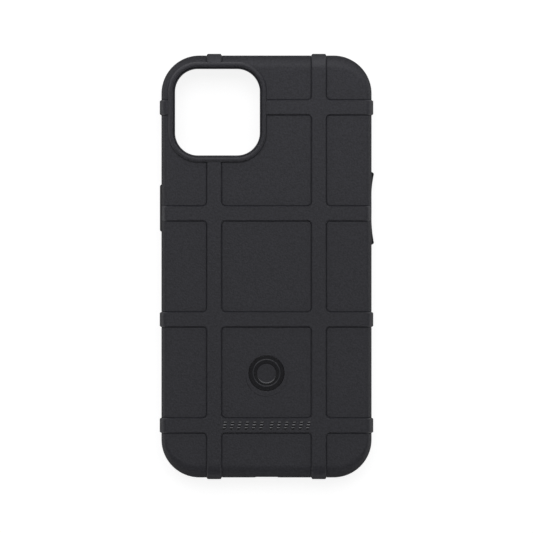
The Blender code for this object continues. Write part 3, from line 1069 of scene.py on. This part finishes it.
    def key_hole(self, key: KeyPlan) -> bpy.types.Object:
        """Makes the hole that a key and its web stand in.

        Args:
            key: the key's plan.

        Returns:
            The solid, to be cut from the shell.
        """
        body = self.body
        face = body.half_x
        levels = [(face - body.wall - 1.0 * MM, 0.0), (face - 0.16 * MM, 0.0)]
        levels += [(face - 0.05 * MM, -0.05 * MM), (face, -0.14 * MM), (face + 2.0 * MM, -0.16 * MM)]
        span = (key.low - body.key_moat, key.high + body.key_moat)
        height = body.key_height + 2 * body.key_moat
        shape = side_solid(body, key.side, levels, span, height, body.key_corner + body.key_moat)
        return to_object(f"{key.name}_hole", shape)

    def ring_switch_hole(self) -> bpy.types.Object:
        """Makes the slot over the phone's ring switch, wider at its outer edge.

        Returns:
            The solid, to be cut from the shell.
        """
        face = self.body.half_x
        length, height = self.ring_switch_size
        levels = [
            (face - self.body.wall - 1.0 * MM, 0.0),
            (face - 0.55 * MM, 0.0),
            (face - 0.42 * MM, -0.03 * MM),
            (face - 0.1 * MM, -0.3 * MM),
            (face, -0.48 * MM),
            (face + 2.0 * MM, -0.52 * MM),
        ]
        span = (self.ring_switch_y - length / 2, self.ring_switch_y + length / 2)
        shape = side_solid(self.body, Side.RIGHT, levels, span, height, height / 2 - 0.1 * MM)
        return to_object("ring_switch_hole", shape)

    def end_hole(
        self, name: str, centre_x: float, size: tuple[float, float], bevel: float
    ) -> bpy.types.Object:
        """Makes a stadium-shaped hole through the port's end, wider at its outer edge.

        Args:
            name: the solid's name.
            centre_x: its middle across the case.
            size: its width and height.
            bevel: how much wider its outer edge is.

        Returns:
            The solid, to be cut from the shell.
        """
        width, height = size
        face = self.body.half_y
        levels = [(face - self.body.wall - 1.0 * MM, 0.0), (face - bevel * 1.05, 0.0)]
        for step in range(1, 6):
            angle = math.radians(18 * step)
            levels.append((face - bevel + bevel * math.sin(angle), -bevel * (1 - math.cos(angle))))
        levels.append((face + 2.0 * MM, -bevel * 1.02))
        rings = stack_rings(width / 2, height / 2, height / 2 - 0.1 * MM, levels, arc_steps=12)
        shape = bmesh.new()
        level = self.body.key_level
        bridge(shape, [[(centre_x + x, -y, level + z) for x, z, y in ring] for ring in rings])
        return to_object(name, shape)

    def port_relief(self) -> bpy.types.Object:
        """Makes the shallow flat that thins the wall round the port.

        Returns:
            The solid, to be cut from the shell.
        """
        width, height = self.port_relief_size
        depth = self.port_relief_depth
        face = self.body.half_y
        levels = [(face - depth, 2 * depth), (face - 0.75 * depth, 0.9 * depth)]
        levels += [(face, 0.0), (face + 2.0 * MM, 0.0)]
        rings = stack_rings(width / 2, height / 2, 1.0 * MM, levels, arc_steps=4)
        shape = bmesh.new()
        level = self.body.key_level
        bridge(shape, [[(x, -y, level + z) for x, z, y in ring] for ring in rings])
        return to_object("port_relief", shape)

    def badge_boss(self) -> bpy.types.Object:
        """Makes the low round boss round the badge. Both circles meet at the top.

        Returns:
            The solid, to be added to the shell.
        """
        back = self.body.back
        levels = [(back - 0.5 * MM, 0.0), (back + 0.01 * MM, 0.0)]
        levels += [(back + 0.7 * self.boss_rise, 0.03 * MM), (back + 0.93 * self.boss_rise, 0.07 * MM)]
        levels += [(back + self.boss_rise, 0.14 * MM)]
        radius = self.boss_radius
        centre = (0.0, self.badge_y - (radius - self.badge_radius))
        return self.stack("badge_boss", radius, radius, radius, levels, centre=centre, arc_steps=24)

    def badge_recess(self) -> bpy.types.Object:
        """Makes the round recess that the badge lies in.

        Returns:
            The solid, to be cut from the shell.
        """
        radius = self.badge_radius + 0.03 * MM
        face = self.body.back + self.boss_rise
        levels = [
            (self.body.back - self.badge_sunk - 0.3 * MM, 0.0),
            (face - 0.12 * MM, 0.0),
            (face - 0.03 * MM, -0.03 * MM),
            (face + 0.01 * MM, -0.12 * MM),
            (face + 1.0 * MM, -0.14 * MM),
        ]
        centre = (0.0, self.badge_y)
        return self.stack("badge_recess", radius, radius, radius, levels, centre=centre, arc_steps=24)

    def build(self) -> None:
        """Builds, cuts and finishes the shell, and puts it on its body."""
        shell = self.ribs.relief().run(self.blank(), self.finish)
        join_solids(shell, [self.rim(), self.badge_boss()], "UNION")
        cutters = [self.pocket(), self.window(), self.ring_switch_hole(), self.port_relief()]
        cutters += [self.key_hole(key) for key in KEYS]
        cutters += [self.end_hole("port", 0.0, self.port_size, 0.5 * MM)]
        cutters += [self.end_hole("speaker", self.sound_slot_x, self.sound_slot_size, 0.3 * MM)]
        cutters += [self.end_hole("microphone", -self.sound_slot_x, self.sound_slot_size, 0.3 * MM)]
        cutters += [self.badge_recess()]
        join_solids(shell, cutters, "DIFFERENCE")
        even_shading(shell)
        register(shell, "case", ["case_shell"])


# ---- Keys --------------------------------------------------------------------------------------


@dataclass
class SideKey:
    """One key: a pad with rounded edges, and the bar on its inner face."""

    plan: KeyPlan
    finish: bpy.types.Material
    body: Body = field(default_factory=Body)
    inner_skin: float = 0.5 * MM
    end_slope: float = 0.9 * MM
    edge_rounding: float = 0.35 * MM
    nub_depth: float = 0.1 * MM
    nub_height: float = 1.8 * MM
    section_every: float = 0.25 * MM

    @property
    def inner(self) -> float:
        """The distance of the pad's inner face from the middle plane."""
        return self.body.half_x - self.body.wall + self.inner_skin

    def rise(self, y: float) -> float:
        """Gives how far the pad stands proud of the wall.

        Args:
            y: the place along the case.

        Returns:
            The rise.
        """
        plan = self.plan
        share = min(y - plan.low, plan.high - y) / self.end_slope
        share = min(max(share, 0.0), 1.0)
        slope = share * (2.0 - share)
        if plan.form is KeyForm.LEVEL:
            return plan.proud * slope
        outer = plan.high if plan.form is KeyForm.HIGH_AT_TOP else plan.low
        run = min(max(abs(y - outer) - self.end_slope, 0.0) / plan.ramp, 1.0)
        return plan.proud * (1.0 - run) ** plan.power * slope

    def section(self, y: float) -> list[Point]:
        """Makes one cross section of the pad.

        Args:
            y: the place along the case.

        Returns:
            Its points.
        """
        from_end = min(y - self.plan.low, self.plan.high - y)
        share = max(1.0 - from_end / self.body.key_corner, 0.0)
        round_off = 1.0 - math.sqrt(max(1.0 - share * share, 0.0))
        half = self.body.key_height / 2 - self.body.key_corner * round_off
        face = self.body.half_x + self.rise(y) - 0.2 * MM * round_off
        edge = min(self.edge_rounding, (face - self.inner) * 0.45)
        upper = [(self.inner, half)]
        for step in range(7):
            angle = math.radians(15 * step)
            upper.append((face - edge + edge * math.sin(angle), half - edge + edge * math.cos(angle)))
        hollow = 0.03 * MM
        middle = [(face - hollow * (1 - t * t), (half - edge) * t) for t in (0.6, 0.25, -0.25, -0.6)]
        lower = [(x, -z) for x, z in reversed(upper)]
        side = self.plan.side.value
        return [(side * x, y, self.body.key_level + z) for x, z in upper + middle + lower]

    def pad(self) -> bpy.types.Object:
        """Lofts the pad along the case.

        Returns:
            The pad.
        """
        plan = self.plan
        corner = self.body.key_corner
        ends = [corner * (1 - math.cos(math.radians(10 * step))) for step in range(10)]
        inner_length = plan.high - plan.low - 2 * corner
        count = round(inner_length / self.section_every)
        places = [plan.low + run for run in ends]
        places += [plan.low + corner + inner_length * k / count for k in range(1, count)]
        places += [plan.high - run for run in reversed(ends)]
        shape = bmesh.new()
        bridge(shape, [self.section(y) for y in places])
        return to_object(f"{plan.name}_key_finished", shape, self.finish)

    def nub(self) -> bpy.types.Object:
        """Makes the small bar that presses the phone's own button.

        Returns:
            The bar, to be added to the pad.
        """
        plan = self.plan
        half = (plan.high - plan.low) * 0.3
        face = self.inner - self.nub_depth
        levels = [(face, 0.2 * MM), (face + 0.03 * MM, 0.1 * MM), (face + 0.1 * MM, 0.03 * MM)]
        levels += [(face + 0.2 * MM, 0.0), (self.inner + 0.3 * MM, 0.0)]
        span = (plan.middle - half, plan.middle + half)
        shape = side_solid(self.body, plan.side, levels, span, self.nub_height, 0.8 * MM, 8)
        return to_object(f"{plan.name}_nub", shape)

    def build(self) -> None:
        """Builds the key and puts it on its body."""
        key = self.pad()
        join_solids(key, [self.nub()], "UNION")
        even_shading(key, 45.0)
        register(key, f"{self.plan.name}_key", [f"{self.plan.name}_button"])


@dataclass
class KeyWeb:
    """The thin folded skin that fills the moat round a key and flexes as it is pressed.

    A deep bead along its inner edge keeps light and dust out when the key is down.
    """

    plan: KeyPlan
    finish: bpy.types.Material
    body: Body = field(default_factory=Body)
    thickness: float = 0.26 * MM
    fold: float = 0.34 * MM
    level: float = 0.52 * MM
    gap: float = 0.05 * MM
    bead_depth: float = 0.55 * MM
    bead_share: float = 0.16

    def profile(self) -> bpy.types.Object:
        """Makes the skin's cross section, a shallow fold with a thickness.

        Returns:
            A closed outline with its width along X and its depth along Y.
        """
        width = self.body.key_moat + 0.12 * MM - self.gap
        outer: list[tuple[float, float]] = []
        inner: list[tuple[float, float]] = []
        shares = [self.bead_share * step / 4 for step in range(4)]
        shares += [self.bead_share + (1 - self.bead_share) * step / 11 for step in range(12)]
        for share in shares:
            dip = self.fold * math.sin(math.pi * share) ** 2
            bead = self.bead_depth * max(1 - share / self.bead_share, 0.0)
            outer.append((self.gap + width * share, dip))
            inner.insert(0, (self.gap + width * share, dip + self.thickness + bead))
        mesh = bpy.data.meshes.new(f"{self.plan.name}_fold")
        points = [(x, z, 0.0) for x, z in outer + inner]
        edges = [(index, (index + 1) % len(points)) for index in range(len(points))]
        mesh.from_pydata(points, edges, [])
        item = bpy.data.objects.new(f"{self.plan.name}_web_finished", mesh)
        bpy.context.scene.collection.objects.link(item)
        return item

    def sweep(self) -> ShapeTree:
        """Builds the tree that runs the cross section round the key's outline.

        Returns:
            The tree.
        """
        plan, body = self.plan, self.body
        side = plan.side.value
        tree = ShapeTree(
            "web_sweep",
            {
                "Key length": plan.high - plan.low,
                "Key height": body.key_height,
                "Key corner": body.key_corner,
                "Corner steps": 10,
                "Place": (side * (body.half_x - self.level), plan.middle, body.key_level),
                "Turn": (math.pi / 2, 0.0, side * math.pi / 2),
            },
        )
        path = tree.add(
            "CurvePrimitiveQuadrilateral",
            {"Width": tree.size("Key length"), "Height": tree.size("Key height")},
        )
        rounded = tree.add(
            "FilletCurve",
            {
                "Curve": path.outputs[0],
                "Radius": tree.size("Key corner"),
                "Count": tree.size("Corner steps"),
            },
            mode="POLY",
        )
        level = tree.add("SetCurveNormal", {"Curve": rounded.outputs[0]}, mode="Z_UP")
        section = tree.add("MeshToCurve", {"Mesh": tree.size("Geometry")})
        swept = tree.add(
            "CurveToMesh",
            {"Curve": level.outputs[0], "Profile Curve": section.outputs[0], "Fill Caps": False},
        )
        placed = tree.add(
            "Transform",
            {
                "Geometry": swept.outputs[0],
                "Translation": tree.size("Place"),
                "Rotation": tree.size("Turn"),
            },
        )
        smooth = tree.add("SetShadeSmooth", {"Geometry": placed.outputs[0]})
        tree.close(smooth.outputs[0])
        return tree

    def build(self) -> None:
        """Builds the web and puts it on the shell's body."""
        web = self.sweep().run(self.profile(), self.finish)
        shape = bmesh.new()
        shape.from_mesh(web.data)
        bmesh.ops.remove_doubles(shape, verts=shape.verts, dist=1e-7)
        bmesh.ops.recalc_face_normals(shape, faces=shape.faces)
        shape.to_mesh(web.data)
        shape.free()
        even_shading(web, 50.0)
        register(web, "case", [f"{self.plan.name}_web"])


# ---- Glossy inlays -----------------------------------------------------------------------------


@dataclass
class Badge:
    """The polished disc in the lower panel, with a thin ring and a shallow pit left in the grain."""

    finish: bpy.types.Material
    grained: bpy.types.Material
    body: Body = field(default_factory=Body)
    centre_y: float = -37.8 * MM
    radius: float = 6.35 * MM
    depth: float = 0.28 * MM
    sunk: float = 0.25 * MM
    ring: float = 4.75 * MM
    ring_rise: float = 0.065 * MM
    ring_half_width: float = 0.13 * MM
    pit: float = 3.45 * MM
    pit_depth: float = 0.07 * MM
    pit_slope: float = 0.5 * MM
    turns: int = 96

    def profile(self) -> list[Level]:
        """Draws the disc's profile from its lower edge to its middle.

        Returns:
            Radius and height of each point.
        """
        floor = self.body.back - self.sunk
        beside_ring = 2.3 * self.ring_half_width
        beside_pit = 0.07 * MM
        steps = 8
        points: list[Level] = [(self.radius, floor - self.depth)]
        points += [(self.radius, floor - 0.1 * MM), (self.radius - 0.03 * MM, floor - 0.03 * MM)]
        points += [(self.radius - 0.1 * MM, floor), (self.radius - 0.16 * MM, floor)]
        points += [(self.ring + beside_ring, floor)]
        for step in range(steps + 1):
            share = step / steps
            radius = self.ring + 2 * self.ring_half_width * (1 - 2 * share)
            points.append((radius, floor + self.ring_rise * math.sin(math.pi * share) ** 2))
        brink = self.pit + self.pit_slope / 2
        points += [(self.ring - beside_ring, floor), (brink + beside_pit, floor)]
        for step in range(steps + 1):
            share = step / steps
            smooth = share * share * (3 - 2 * share)
            points.append((brink - self.pit_slope * share, floor - self.pit_depth * smooth))
        base = floor - self.pit_depth
        low = brink - self.pit_slope - beside_pit
        points += [(low * share, base) for share in (1.0, 0.8, 0.6, 0.4, 0.2, 0.05)]
        return points

    def build(self) -> None:
        """Turns the profile round and puts the badge on the shell's body."""
        shape = bmesh.new()
        angles = [2 * math.pi * step / self.turns for step in range(self.turns)]
        rings = [
            [(r * math.cos(a), self.centre_y + r * math.sin(a), height) for a in angles]
            for r, height in self.profile()
        ]
        bridge(shape, rings)
        badge = to_object("badge_disc_finished", shape, self.finish)
        badge.data.materials.append(self.grained)
        for face in badge.data.polygons:
            middle = face.center
            from_middle = math.hypot(middle.x, middle.y - self.centre_y)
            in_pit = from_middle < self.pit - 0.1 * MM and face.normal.z > 0
            on_ring = abs(from_middle - self.ring) < 1.4 * self.ring_half_width
            if in_pit or on_ring:
                face.material_index = 1
        even_shading(badge, 60.0)
        register(badge, "case", ["badge_disc"])


@dataclass
class RibTicks:
    """The glossy slanted bars on the lowest rib, in two groups, each with three low pillows."""

    finish: bpy.types.Material
    body: Body = field(default_factory=Body)
    in_group: int = 6
    pitch: float = 2.6 * MM
    group_gap: float = 1.0 * MM
    width: float = 1.3 * MM
    length: float = 3.1 * MM
    lean: float = 12.0
    proud: float = 0.15 * MM
    depth: float = 0.35 * MM
    row_y: float = -56.4 * MM
    pillows: int = 3
    pillow_rise: float = 0.13 * MM
    lowest_share: float = 0.55
    steps_per_pillow: int = 8
    corner: float = 0.45 * MM
    end_drop: float = 0.1 * MM

    def bar(self) -> bpy.types.Object:
        """Makes one bar in the middle of the row, lofted along its length.

        Returns:
            The bar.
        """
        top = self.body.back + self.body.rib_height + self.proud
        slope = math.tan(math.radians(self.lean))
        corner = self.corner
        count = self.pillows * self.steps_per_pillow
        shape = bmesh.new()
        sections: list[list[Point]] = []
        for step in range(count + 1):
            share = step / count
            y = (share - 0.5) * self.length
            from_end = self.length / 2 - abs(y)
            short = max(corner - from_end, 0.0)
            half = self.width / 2 - corner + math.sqrt(max(corner**2 - short**2, (0.1 * MM) ** 2))
            pillow, place = divmod(step / self.steps_per_pillow, 1.0)
            order = pillow / max(self.pillows - 1, 1)
            swell = self.pillow_rise * (self.lowest_share + (1 - self.lowest_share) * order)
            rise = min(swell, self.pillow_rise) * (1 - (2 * place - 1) ** 2)
            face = top - self.pillow_rise + rise - self.end_drop * (short / corner) ** 3
            across = ((-1.0, -self.depth), (-1.0, -0.12 * MM), (-0.92, -0.05 * MM), (-0.75, -0.015 * MM))
            across += ((-0.4, 0.0), (0.4, 0.0), (0.75, -0.015 * MM), (0.92, -0.05 * MM))
            across += ((1.0, -0.12 * MM), (1.0, -self.depth))
            low = top - self.depth
            section = [(half * u + y * slope, self.row_y + y, max(face + drop, low)) for u, drop in across]
            sections.append(section)
        bridge(shape, sections)
        return to_object("rib_ticks_finished", shape, self.finish)

    def row(self) -> ShapeTree:
        """Builds the tree that repeats the bar along the rib in two groups.

        Returns:
            The tree.
        """
        tree = ShapeTree(
            "tick_row",
            {"Bars in a group": self.in_group, "Pitch": self.pitch, "Group gap": self.group_gap},
        )
        per_group = tree.size("Bars in a group")
        count = tree.math("MULTIPLY", per_group, 2.0)
        line = tree.add("MeshLine", {"Count": count})
        index = tree.add("InputIndex").outputs[0]
        middle = tree.math("MULTIPLY_ADD", count, 0.5, -0.5)
        from_middle = tree.math("SUBTRACT", index, middle)
        spread = tree.math("MULTIPLY", from_middle, tree.size("Pitch"))
        half_gap = tree.math("MULTIPLY", tree.size("Group gap"), 0.5)
        shift = tree.math("MULTIPLY", tree.math("SIGN", from_middle), half_gap)
        place = add_node(tree.tree, "ShaderNodeCombineXYZ", {"X": tree.math("ADD", spread, shift)})
        points = tree.add("SetPosition", {"Geometry": line.outputs[0], "Position": place.outputs[0]})
        bars = tree.add(
            "InstanceOnPoints", {"Points": points.outputs[0], "Instance": tree.size("Geometry")}
        )
        tree.close(bars.outputs[0])
        return tree

    def build(self) -> None:
        """Builds the row and puts it on the shell's body."""
        ticks = self.row().run(self.bar(), self.finish)
        even_shading(ticks, 60.0)
        nodes = [f"rib_tick_{index + 1}" for index in range(2 * self.in_group)]
        register(ticks, "case", nodes)


# ---- Studio ------------------------------------------------------------------------------------


@dataclass(frozen=True)
class Softbox:
    """One soft light, which faces the middle of the case."""

    name: str
    place: Point
    size: tuple[float, float]
    power: float
    tint: str = "#ffffff"

    def build(self) -> None:
        """Makes the light and turns it to the case."""
        data = bpy.data.lights.new(self.name, "AREA")
        data.shape = "RECTANGLE"
        data.size, data.size_y = self.size
        data.energy = self.power
        data.color = linear(self.tint)[:3]
        item = bpy.data.objects.new(self.name, data)
        item.location = self.place
        item.rotation_mode = "QUATERNION"
        item.rotation_quaternion = (-Vector(self.place)).to_track_quat("-Z", "Y")
        bpy.context.scene.collection.objects.link(item)
        log.info("%s: %.1f W", self.name, self.power)


@dataclass
class Studio:
    """The lit pale table, the soft light, the white surroundings and the camera straight above."""

    table: bpy.types.Material
    table_flat: float = 2.3
    table_sweep: float = 0.9
    table_turns: int = 96
    sweep_steps: int = 12
    below_lip: float = 0.02 * MM
    world_tone: str = "#ffffff"
    world_low: float = 0.3
    world_high: float = 0.1
    world_tilt: float = -0.4
    world_span: tuple[float, float] = (-0.2, 0.9)
    lens: float = 380.0
    sensor: float = 36.0
    frame_width: float = 189.2 * MM
    frame_level: float = 8.0 * MM
    lights: tuple[Softbox, ...] = (
        Softbox("high softbox", (0.0, 1.2, 2.2), (2.6, 1.6), 28.0, "#fafaff"),
    )

    def build_table(self) -> None:
        """Makes the round table just under the case's lip, with its far edge swept up."""
        flat, sweep = self.table_flat, self.table_sweep
        profile = [(0.2, 0.0), (0.6, 0.0), (1.2, 0.0), (flat, 0.0)]
        for step in range(1, self.sweep_steps + 1):
            angle = math.pi / 2 * step / self.sweep_steps
            profile.append((flat + sweep * math.sin(angle), sweep * (1 - math.cos(angle))))
        angles = [2 * math.pi * step / self.table_turns for step in range(self.table_turns)]
        rings = [
            [(r * math.cos(a), r * math.sin(a), height - self.below_lip) for a in angles]
            for r, height in profile
        ]
        shape = bmesh.new()
        rows = bridge(shape, rings, close_ends=False)
        shape.faces.new(rows[0])
        table = to_object("swept_table", shape, self.table)
        for face in table.data.polygons:
            if face.normal.z < 0:
                table.data.flip_normals()
                break

    def build_world(self) -> None:
        """Makes the white surroundings, which darken overhead and towards the port's end."""
        world = bpy.data.worlds.new("white studio")
        world.use_nodes = True
        tree = world.node_tree
        way = add_node(tree, "ShaderNodeTexCoord").outputs["Generated"]
        parts = add_node(tree, "ShaderNodeSeparateXYZ", {0: way}).outputs
        inputs = {0: parts["Y"], 1: self.world_tilt, 2: parts["Z"]}
        height = add_node(tree, "ShaderNodeMath", inputs, operation="MULTIPLY_ADD").outputs[0]
        inputs = dict(enumerate((height, *self.world_span, self.world_low, self.world_high)))
        strength = add_node(tree, "ShaderNodeMapRange", inputs).outputs["Result"]
        background = tree.nodes["Background"]
        background.inputs["Color"].default_value = linear(self.world_tone)
        tree.links.new(strength, background.inputs["Strength"])
        bpy.context.scene.world = world

    def build_camera(self) -> None:
        """Puts a long lens straight above the middle of the case."""
        data = bpy.data.cameras.new("camera")
        data.lens = self.lens
        data.sensor_width = self.sensor
        data.clip_end = 10.0
        camera = bpy.data.objects.new("camera", data)
        distance = self.frame_width * self.lens / self.sensor
        camera.location = (0.0, 0.0, self.frame_level + distance)
        bpy.context.scene.collection.objects.link(camera)
        bpy.context.scene.camera = camera

    def build(self) -> None:
        """Builds the whole studio."""
        self.build_table()
        self.build_world()
        for light in self.lights:
            light.build()
        self.build_camera()
        bpy.context.scene.view_settings.view_transform = "Standard"
        bpy.context.scene.view_settings.look = "None"


def main() -> None:
    """Builds every sub-assembly in order."""
    logging.basicConfig(level=logging.INFO, format="%(message)s")
    shell_finish = MouldedTPU().build()
    key_finish = MouldedTPU("moulded TPU of the keys").build()
    web_finish = MouldedTPU(
        "thin moulded TPU", tone="#29292b", cloud_tone="#262628", roughness=0.6
    ).build()
    badge_finish = GlossTPU().build()
    tick_finish = GlossTPU("polished TPU of the ticks", roughness=0.1, scuffed=0.16, coat=0.8).build()
    CaseShell(shell_finish).build()
    for plan in KEYS:
        SideKey(plan, key_finish).build()
        KeyWeb(plan, web_finish).build()
    Badge(badge_finish, shell_finish).build()
    RibTicks(tick_finish).build()
    Studio(LitTable().build()).build()


if __name__ == "__main__":
    main()
